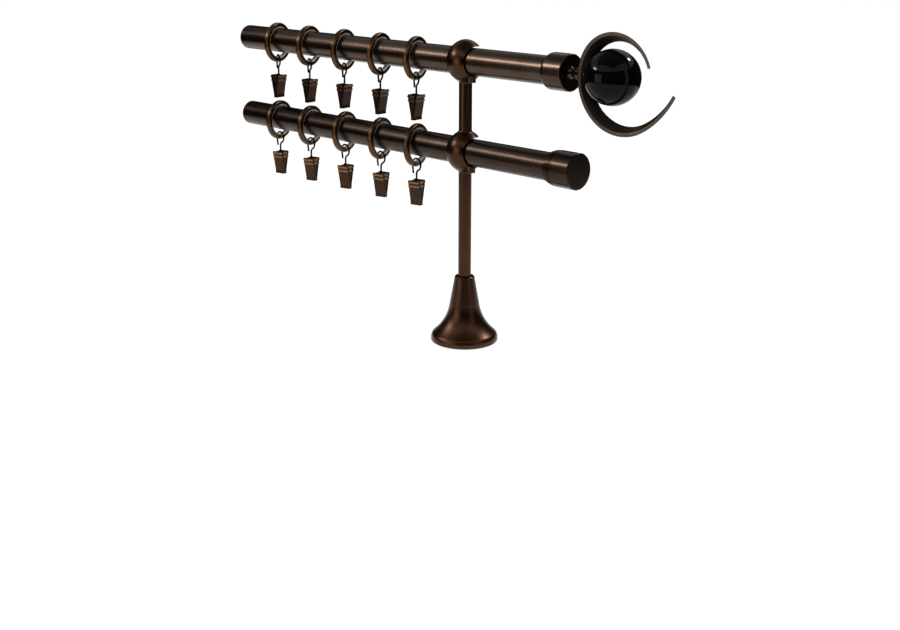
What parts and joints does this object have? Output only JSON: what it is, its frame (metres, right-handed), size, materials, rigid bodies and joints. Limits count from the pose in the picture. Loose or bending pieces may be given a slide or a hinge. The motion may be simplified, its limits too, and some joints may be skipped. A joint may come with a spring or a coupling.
{
  "type": "double curtain pole",
  "caption": "Wall bracket with a bell rosette and ball holders carrying a front and a rear curtain pole, with a crescent finial, an end cap, lined rings, wire hooks and sprung curtain clips.",
  "frame": {"origin": "centre of the wall plate's back face", "axes": "+Z along the bracket's rod away from the wall plate, +X along the poles towards the finial, +Y the side the holders' channels open to"},
  "size_m": [0.4237, 0.0476, 0.2275],
  "materials": {
    "bronze": "satin, finely brushed dark bronze",
    "plain_steel": "satin",
    "ball_black": "polished",
    "liner_plastic": "matt",
    "hook_wire": "satin",
    "clip_plate": "satin dark bronze"
  },
  "bodies": {
    "bracket": {"rosette": "bronze", "wall_plate": "plain_steel", "bracket_arm": "bronze", "clamp_screws": "plain_steel", "rear_pole": "bronze", "front_pole": "bronze", "rear_end_cap": "bronze", "finial_collar": "bronze", "finial_crescent": "bronze", "finial_ball": "ball_black"},
    "front_slider_1": {"front_ring_1": "bronze", "front_liner_1": "liner_plastic"},
    "front_hanger_1": {"front_hook_1": "hook_wire", "front_clip_back_1": "clip_plate"},
    "front_jaw_1": {"front_clip_front_1": "clip_plate"},
    "front_slider_2": {"front_ring_2": "bronze", "front_liner_2": "liner_plastic"},
    "front_hanger_2": {"front_hook_2": "hook_wire", "front_clip_back_2": "clip_plate"},
    "front_jaw_2": {"front_clip_front_2": "clip_plate"},
    "front_slider_3": {"front_ring_3": "bronze", "front_liner_3": "liner_plastic"},
    "front_hanger_3": {"front_hook_3": "hook_wire", "front_clip_back_3": "clip_plate"},
    "front_jaw_3": {"front_clip_front_3": "clip_plate"},
    "front_slider_4": {"front_ring_4": "bronze", "front_liner_4": "liner_plastic"},
    "front_hanger_4": {"front_hook_4": "hook_wire", "front_clip_back_4": "clip_plate"},
    "front_jaw_4": {"front_clip_front_4": "clip_plate"},
    "front_slider_5": {"front_ring_5": "bronze", "front_liner_5": "liner_plastic"},
    "front_hanger_5": {"front_hook_5": "hook_wire", "front_clip_back_5": "clip_plate"},
    "front_jaw_5": {"front_clip_front_5": "clip_plate"},
    "rear_slider_1": {"rear_ring_1": "bronze", "rear_liner_1": "liner_plastic"},
    "rear_hanger_1": {"rear_hook_1": "hook_wire", "rear_clip_back_1": "clip_plate"},
    "rear_jaw_1": {"rear_clip_front_1": "clip_plate"},
    "rear_slider_2": {"rear_ring_2": "bronze", "rear_liner_2": "liner_plastic"},
    "rear_hanger_2": {"rear_hook_2": "hook_wire", "rear_clip_back_2": "clip_plate"},
    "rear_jaw_2": {"rear_clip_front_2": "clip_plate"},
    "rear_slider_3": {"rear_ring_3": "bronze", "rear_liner_3": "liner_plastic"},
    "rear_hanger_3": {"rear_hook_3": "hook_wire", "rear_clip_back_3": "clip_plate"},
    "rear_jaw_3": {"rear_clip_front_3": "clip_plate"},
    "rear_slider_4": {"rear_ring_4": "bronze", "rear_liner_4": "liner_plastic"},
    "rear_hanger_4": {"rear_hook_4": "hook_wire", "rear_clip_back_4": "clip_plate"},
    "rear_jaw_4": {"rear_clip_front_4": "clip_plate"},
    "rear_slider_5": {"rear_ring_5": "bronze", "rear_liner_5": "liner_plastic"},
    "rear_hanger_5": {"rear_hook_5": "hook_wire", "rear_clip_back_5": "clip_plate"},
    "rear_jaw_5": {"rear_clip_front_5": "clip_plate"}
  },
  "joints": [
    {"name": "front_ring_slide_1", "type": "slide", "parent": "bracket", "child": "front_slider_1", "axis": [1, 0, 0], "range_m": [-0.012, 0.012]},
    {"name": "front_hook_swing_1", "type": "hinge", "parent": "front_slider_1", "child": "front_hanger_1", "pos_m": [-0.212, 0, 0.18295], "axis": [0.342, 0.9397, 0], "range_deg": [-30, 30]},
    {"name": "front_clip_jaw_1", "type": "hinge", "parent": "front_hanger_1", "child": "front_jaw_1", "pos_m": [-0.212, 0, 0.16555], "axis": [0.1219, -0.9925, 0], "range_deg": [0, 12], "stiffness_Nm_per_rad": 0.002, "springref_deg": -17.19},
    {"name": "front_ring_slide_2", "type": "slide", "parent": "bracket", "child": "front_slider_2", "axis": [1, 0, 0], "range_m": [-0.012, 0.012]},
    {"name": "front_hook_swing_2", "type": "hinge", "parent": "front_slider_2", "child": "front_hanger_2", "pos_m": [-0.1718, 0, 0.18295], "axis": [0.342, 0.9397, 0], "range_deg": [-30, 30]},
    {"name": "front_clip_jaw_2", "type": "hinge", "parent": "front_hanger_2", "child": "front_jaw_2", "pos_m": [-0.1718, 0, 0.16555], "axis": [0.1219, -0.9925, 0], "range_deg": [0, 12], "stiffness_Nm_per_rad": 0.002, "springref_deg": -17.19},
    {"name": "front_ring_slide_3", "type": "slide", "parent": "bracket", "child": "front_slider_3", "axis": [1, 0, 0], "range_m": [-0.012, 0.012]},
    {"name": "front_hook_swing_3", "type": "hinge", "parent": "front_slider_3", "child": "front_hanger_3", "pos_m": [-0.1295, 0, 0.18295], "axis": [0.342, 0.9397, 0], "range_deg": [-30, 30]},
    {"name": "front_clip_jaw_3", "type": "hinge", "parent": "front_hanger_3", "child": "front_jaw_3", "pos_m": [-0.1295, 0, 0.16555], "axis": [0.1219, -0.9925, 0], "range_deg": [0, 12], "stiffness_Nm_per_rad": 0.002, "springref_deg": -17.19},
    {"name": "front_ring_slide_4", "type": "slide", "parent": "bracket", "child": "front_slider_4", "axis": [1, 0, 0], "range_m": [-0.012, 0.012]},
    {"name": "front_hook_swing_4", "type": "hinge", "parent": "front_slider_4", "child": "front_hanger_4", "pos_m": [-0.0883, 0, 0.18295], "axis": [0.342, 0.9397, 0], "range_deg": [-30, 30]},
    {"name": "front_clip_jaw_4", "type": "hinge", "parent": "front_hanger_4", "child": "front_jaw_4", "pos_m": [-0.0883, 0, 0.16555], "axis": [0.1219, -0.9925, 0], "range_deg": [0, 12], "stiffness_Nm_per_rad": 0.002, "springref_deg": -17.19},
    {"name": "front_ring_slide_5", "type": "slide", "parent": "bracket", "child": "front_slider_5", "axis": [1, 0, 0], "range_m": [-0.012, 0.012]},
    {"name": "front_hook_swing_5", "type": "hinge", "parent": "front_slider_5", "child": "front_hanger_5", "pos_m": [-0.0495, 0, 0.18295], "axis": [0.342, 0.9397, 0], "range_deg": [-30, 30]},
    {"name": "front_clip_jaw_5", "type": "hinge", "parent": "front_hanger_5", "child": "front_jaw_5", "pos_m": [-0.0495, 0, 0.16555], "axis": [0.1219, -0.9925, 0], "range_deg": [0, 12], "stiffness_Nm_per_rad": 0.002, "springref_deg": -17.19},
    {"name": "rear_ring_slide_1", "type": "slide", "parent": "bracket", "child": "rear_slider_1", "axis": [1, 0, 0], "range_m": [-0.012, 0.012]},
    {"name": "rear_hook_swing_1", "type": "hinge", "parent": "rear_slider_1", "child": "rear_hanger_1", "pos_m": [-0.212, 0, 0.12025], "axis": [0, 1, 0], "range_deg": [-30, 30]},
    {"name": "rear_clip_jaw_1", "type": "hinge", "parent": "rear_hanger_1", "child": "rear_jaw_1", "pos_m": [-0.212, 0, 0.10285], "axis": [-0.9744, -0.225, 0], "range_deg": [0, 12], "stiffness_Nm_per_rad": 0.002, "springref_deg": -17.19},
    {"name": "rear_ring_slide_2", "type": "slide", "parent": "bracket", "child": "rear_slider_2", "axis": [1, 0, 0], "range_m": [-0.012, 0.012]},
    {"name": "rear_hook_swing_2", "type": "hinge", "parent": "rear_slider_2", "child": "rear_hanger_2", "pos_m": [-0.1718, 0, 0.12025], "axis": [0, 1, 0], "range_deg": [-30, 30]},
    {"name": "rear_clip_jaw_2", "type": "hinge", "parent": "rear_hanger_2", "child": "rear_jaw_2", "pos_m": [-0.1718, 0, 0.10285], "axis": [-0.9744, -0.225, 0], "range_deg": [0, 12], "stiffness_Nm_per_rad": 0.002, "springref_deg": -17.19},
    {"name": "rear_ring_slide_3", "type": "slide", "parent": "bracket", "child": "rear_slider_3", "axis": [1, 0, 0], "range_m": [-0.012, 0.012]},
    {"name": "rear_hook_swing_3", "type": "hinge", "parent": "rear_slider_3", "child": "rear_hanger_3", "pos_m": [-0.1295, 0, 0.12025], "axis": [0, 1, 0], "range_deg": [-30, 30]},
    {"name": "rear_clip_jaw_3", "type": "hinge", "parent": "rear_hanger_3", "child": "rear_jaw_3", "pos_m": [-0.1295, 0, 0.10285], "axis": [-0.9744, -0.225, 0], "range_deg": [0, 12], "stiffness_Nm_per_rad": 0.002, "springref_deg": -17.19},
    {"name": "rear_ring_slide_4", "type": "slide", "parent": "bracket", "child": "rear_slider_4", "axis": [1, 0, 0], "range_m": [-0.012, 0.012]},
    {"name": "rear_hook_swing_4", "type": "hinge", "parent": "rear_slider_4", "child": "rear_hanger_4", "pos_m": [-0.0883, 0, 0.12025], "axis": [0, 1, 0], "range_deg": [-30, 30]},
    {"name": "rear_clip_jaw_4", "type": "hinge", "parent": "rear_hanger_4", "child": "rear_jaw_4", "pos_m": [-0.0883, 0, 0.10285], "axis": [-0.9744, -0.225, 0], "range_deg": [0, 12], "stiffness_Nm_per_rad": 0.002, "springref_deg": -17.19},
    {"name": "rear_ring_slide_5", "type": "slide", "parent": "bracket", "child": "rear_slider_5", "axis": [1, 0, 0], "range_m": [-0.012, 0.012]},
    {"name": "rear_hook_swing_5", "type": "hinge", "parent": "rear_slider_5", "child": "rear_hanger_5", "pos_m": [-0.0495, 0, 0.12025], "axis": [0, 1, 0], "range_deg": [-30, 30]},
    {"name": "rear_clip_jaw_5", "type": "hinge", "parent": "rear_hanger_5", "child": "rear_jaw_5", "pos_m": [-0.0495, 0, 0.10285], "axis": [-0.9744, -0.225, 0], "range_deg": [0, 12], "stiffness_Nm_per_rad": 0.002, "springref_deg": -17.19}
  ]
}
